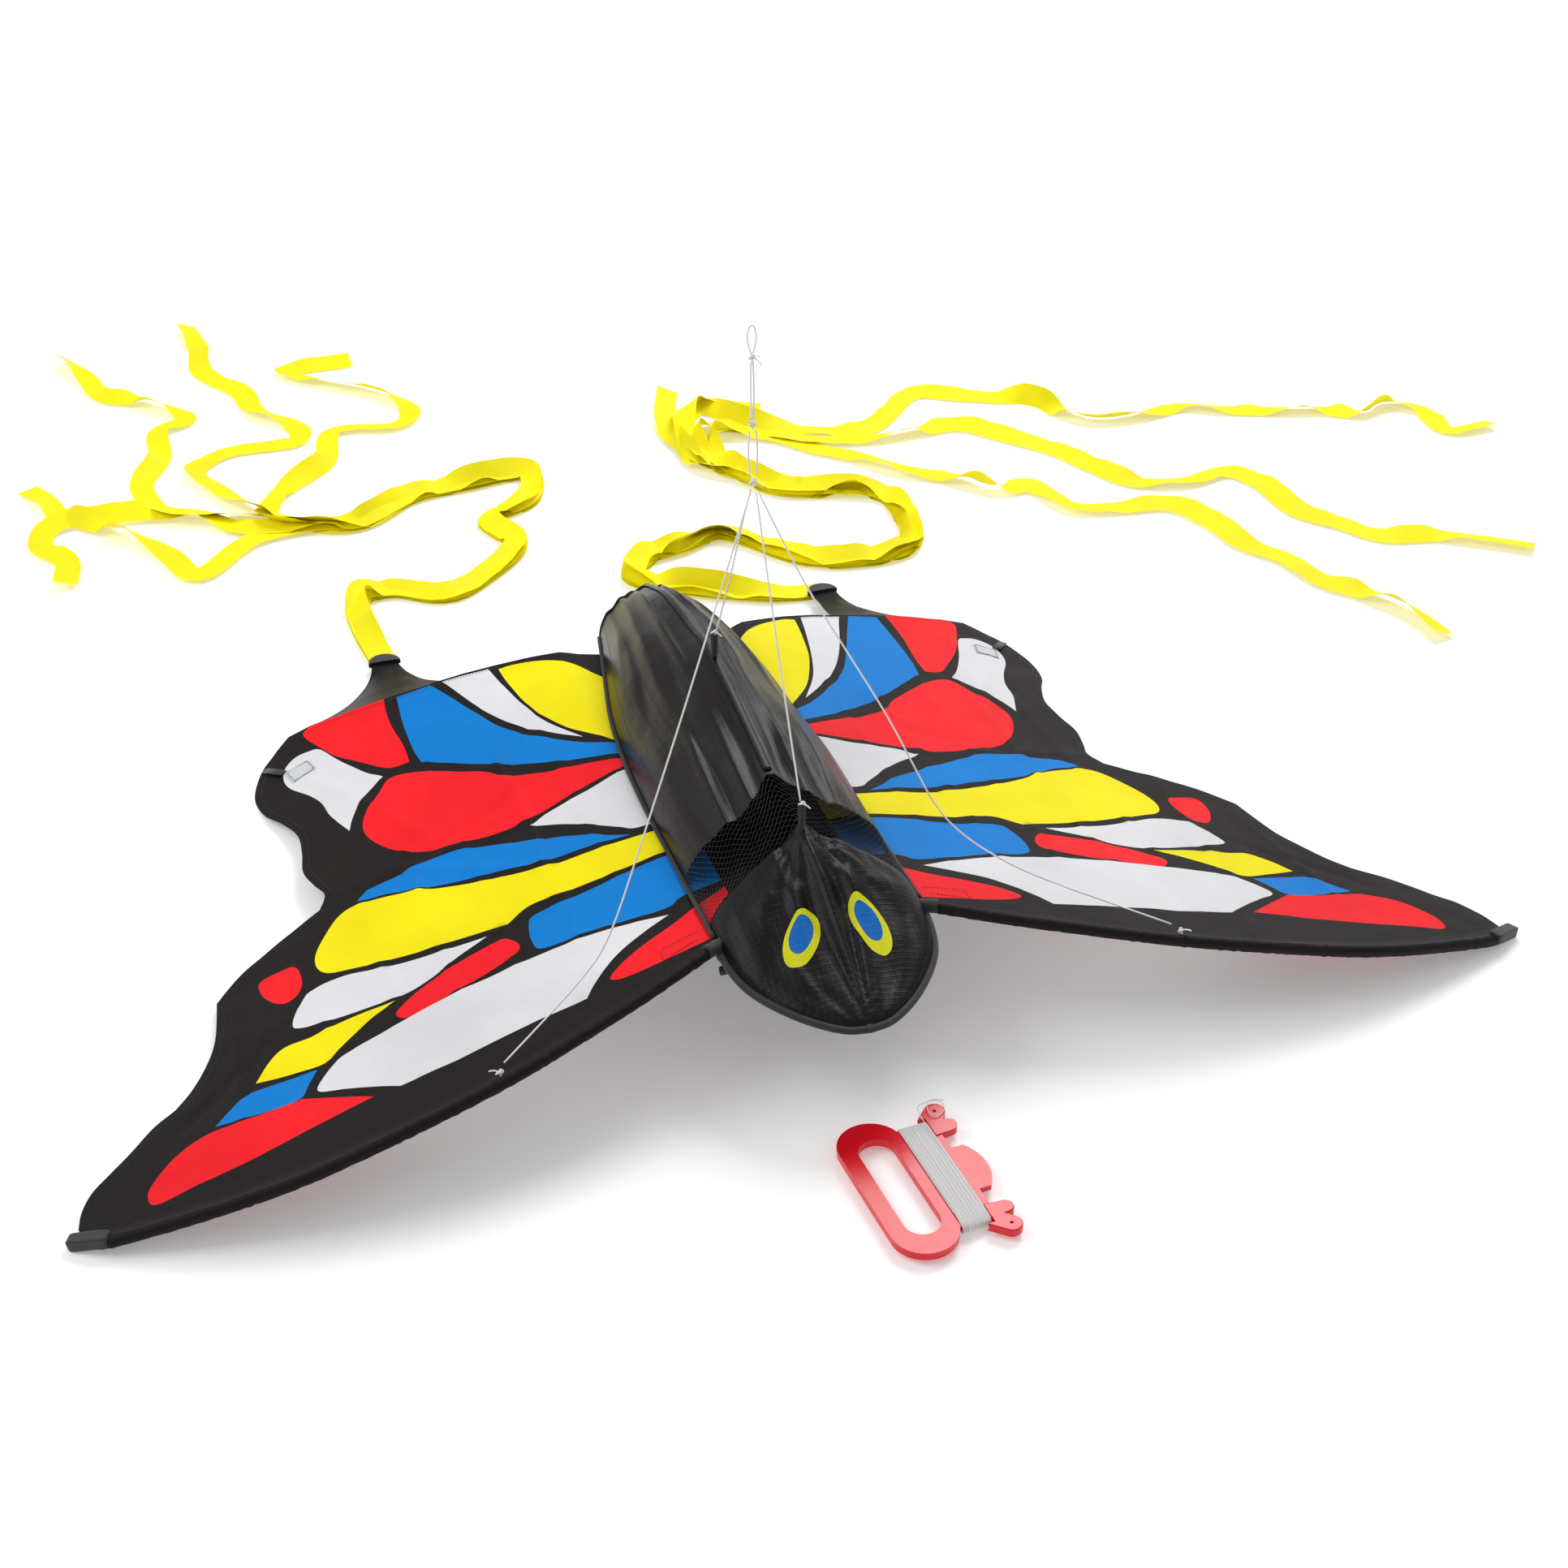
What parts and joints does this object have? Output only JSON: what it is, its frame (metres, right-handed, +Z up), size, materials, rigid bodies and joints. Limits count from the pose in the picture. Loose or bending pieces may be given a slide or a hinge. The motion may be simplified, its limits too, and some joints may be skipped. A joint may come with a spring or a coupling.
{
  "type": "butterfly kite",
  "caption": "Butterfly-shaped kite with a windsock body, folding printed wings, swallowtail flaps, yellow ribbons, bridle and hand winder.",
  "frame": {"origin": "on the floor, in the plane between the wings, at the middle of the length from the winder to the tail tabs (cords left out)", "axes": "+X to the kite's right wing, +Y from head to tail, +Z up; the kite lies belly up"},
  "size_m": [1.8435, 2.0088, 0.5744],
  "materials": {
    "printed_sail": "printed ripstop polyester, satin",
    "black_ripstop": "black coated ripstop polyester, slightly shiny",
    "mesh": "open black polyester mesh",
    "webbing": "woven black tape and binding",
    "fibreglass_rod": "smooth fibreglass rod",
    "hub_rubber": "moulded soft plastic",
    "bridle_line": "white braided polyester cord",
    "flying_line": "white twisted polyester line",
    "ribbon": "yellow polyester ribbon, matt",
    "winder_plastic": "glossy moulded red plastic"
  },
  "bodies": {
    "kite_body": {"centre_sail": "black_ripstop", "air_mesh": "mesh", "head_pouch": "black_ripstop", "head_hoop_rod": "fibreglass_rod", "head_hem": "webbing", "body_skin_left": "black_ripstop", "body_skin_right": "black_ripstop", "body_binding_left": "webbing", "body_binding_right": "webbing", "hoop_pocket_left": "webbing", "hoop_pocket_right": "webbing", "rear_drawcord": "webbing", "spine_rod": "fibreglass_rod", "spine_sleeve": "black_ripstop", "rod_hub": "hub_rubber", "front_tube": "hub_rubber", "keel_loop_front": "webbing", "keel_loop_rear": "webbing", "bridle_leg_left": "bridle_line", "bridle_leg_right": "bridle_line", "bridle_leg_front": "bridle_line", "bridle_leg_rear": "bridle_line", "bridle_knot_lower": "bridle_line", "bridle_knot_upper": "bridle_line", "bridle_knot_top": "bridle_line", "bridle_riser_left": "bridle_line", "bridle_riser_right": "bridle_line", "bridle_riser_top": "bridle_line", "tow_loop": "bridle_line", "ribbon_left_1": "ribbon", "ribbon_left_2": "ribbon", "ribbon_left_3": "ribbon", "ribbon_left_4": "ribbon", "ribbon_left_5": "ribbon", "ribbon_right_1": "ribbon", "ribbon_right_2": "ribbon", "ribbon_right_3": "ribbon", "ribbon_right_4": "ribbon", "ribbon_right_5": "ribbon"},
    "wing_left": {"wing_sail_left": "printed_sail", "leading_edge_rod_left": "fibreglass_rod", "leading_edge_sleeve_left": "black_ripstop", "tip_pocket_left": "webbing", "diagonal_rod_left": "fibreglass_rod", "hind_pocket_left": "webbing", "tail_flap_left": "black_ripstop", "tail_tab_left": "webbing", "wing_line_knot_left": "bridle_line"},
    "wing_right": {"wing_sail_right": "printed_sail", "leading_edge_rod_right": "fibreglass_rod", "leading_edge_sleeve_right": "black_ripstop", "tip_pocket_right": "webbing", "diagonal_rod_right": "fibreglass_rod", "hind_pocket_right": "webbing", "tail_flap_right": "black_ripstop", "tail_tab_right": "webbing", "wing_line_knot_right": "bridle_line"},
    "winder": {"winder_frame": "winder_plastic", "flying_line": "flying_line"}
  },
  "joints": [
    {"name": "right_wing_fold", "type": "hinge", "parent": "kite_body", "child": "wing_right", "pos_m": [0.096, 0.0382, 0.105], "axis": [0, -0.9998, 0.021], "range_deg": [0, 75], "deforming": ["bridle_leg_right"]},
    {"name": "left_wing_fold", "type": "hinge", "parent": "kite_body", "child": "wing_left", "pos_m": [-0.096, 0.0382, 0.105], "axis": [0, 0.9998, -0.021], "range_deg": [0, 75], "deforming": ["bridle_leg_left"]},
    {"name": "winder_lift", "type": "slide", "parent": "kite_body", "child": "winder", "axis": [0, 0, 1], "range_m": [0, 0.12]}
  ]
}
